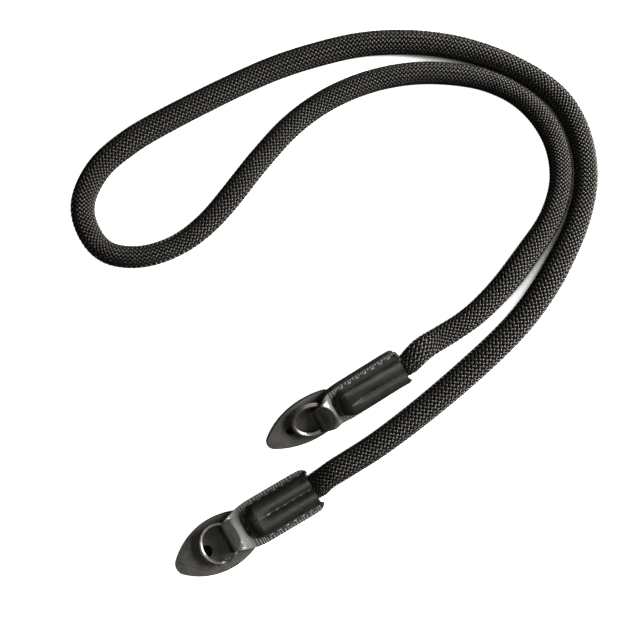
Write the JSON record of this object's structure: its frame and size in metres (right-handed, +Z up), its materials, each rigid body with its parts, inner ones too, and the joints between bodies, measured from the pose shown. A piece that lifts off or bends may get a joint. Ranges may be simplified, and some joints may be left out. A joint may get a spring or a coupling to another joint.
{
  "type": "rope camera strap",
  "caption": "Braided rope neck strap with a folded leather end, a split ring and a leather leaf protector at each side, laid down as a doubled loop.",
  "frame": {"origin": "on the table, under the middle of the box round the two leather ends with their rings and protectors", "axes": "+Z up out of the table; the two leather ends point towards -X and -Y, and the rope's loops lie on the +Y side"},
  "size_m": [0.2152, 0.223, 0.0183],
  "materials": {
    "braided_rope": "tight herringbone braid of dull black yarn with a light sheen",
    "black_leather": "smooth moulded leather, satin, with soft grey highlights",
    "grey_leather": "fine pebbled leather, matt, dark grey",
    "nickelled_steel": "polished nickel plate over flat spring wire"
  },
  "bodies": {
    "root": {"rope": "braided_rope", "leather_end_a": "black_leather", "leather_end_b": "black_leather", "split_ring_a": "nickelled_steel", "split_ring_b": "nickelled_steel", "ring_protector_a": "grey_leather", "ring_protector_b": "grey_leather"}
  },
  "joints": []
}
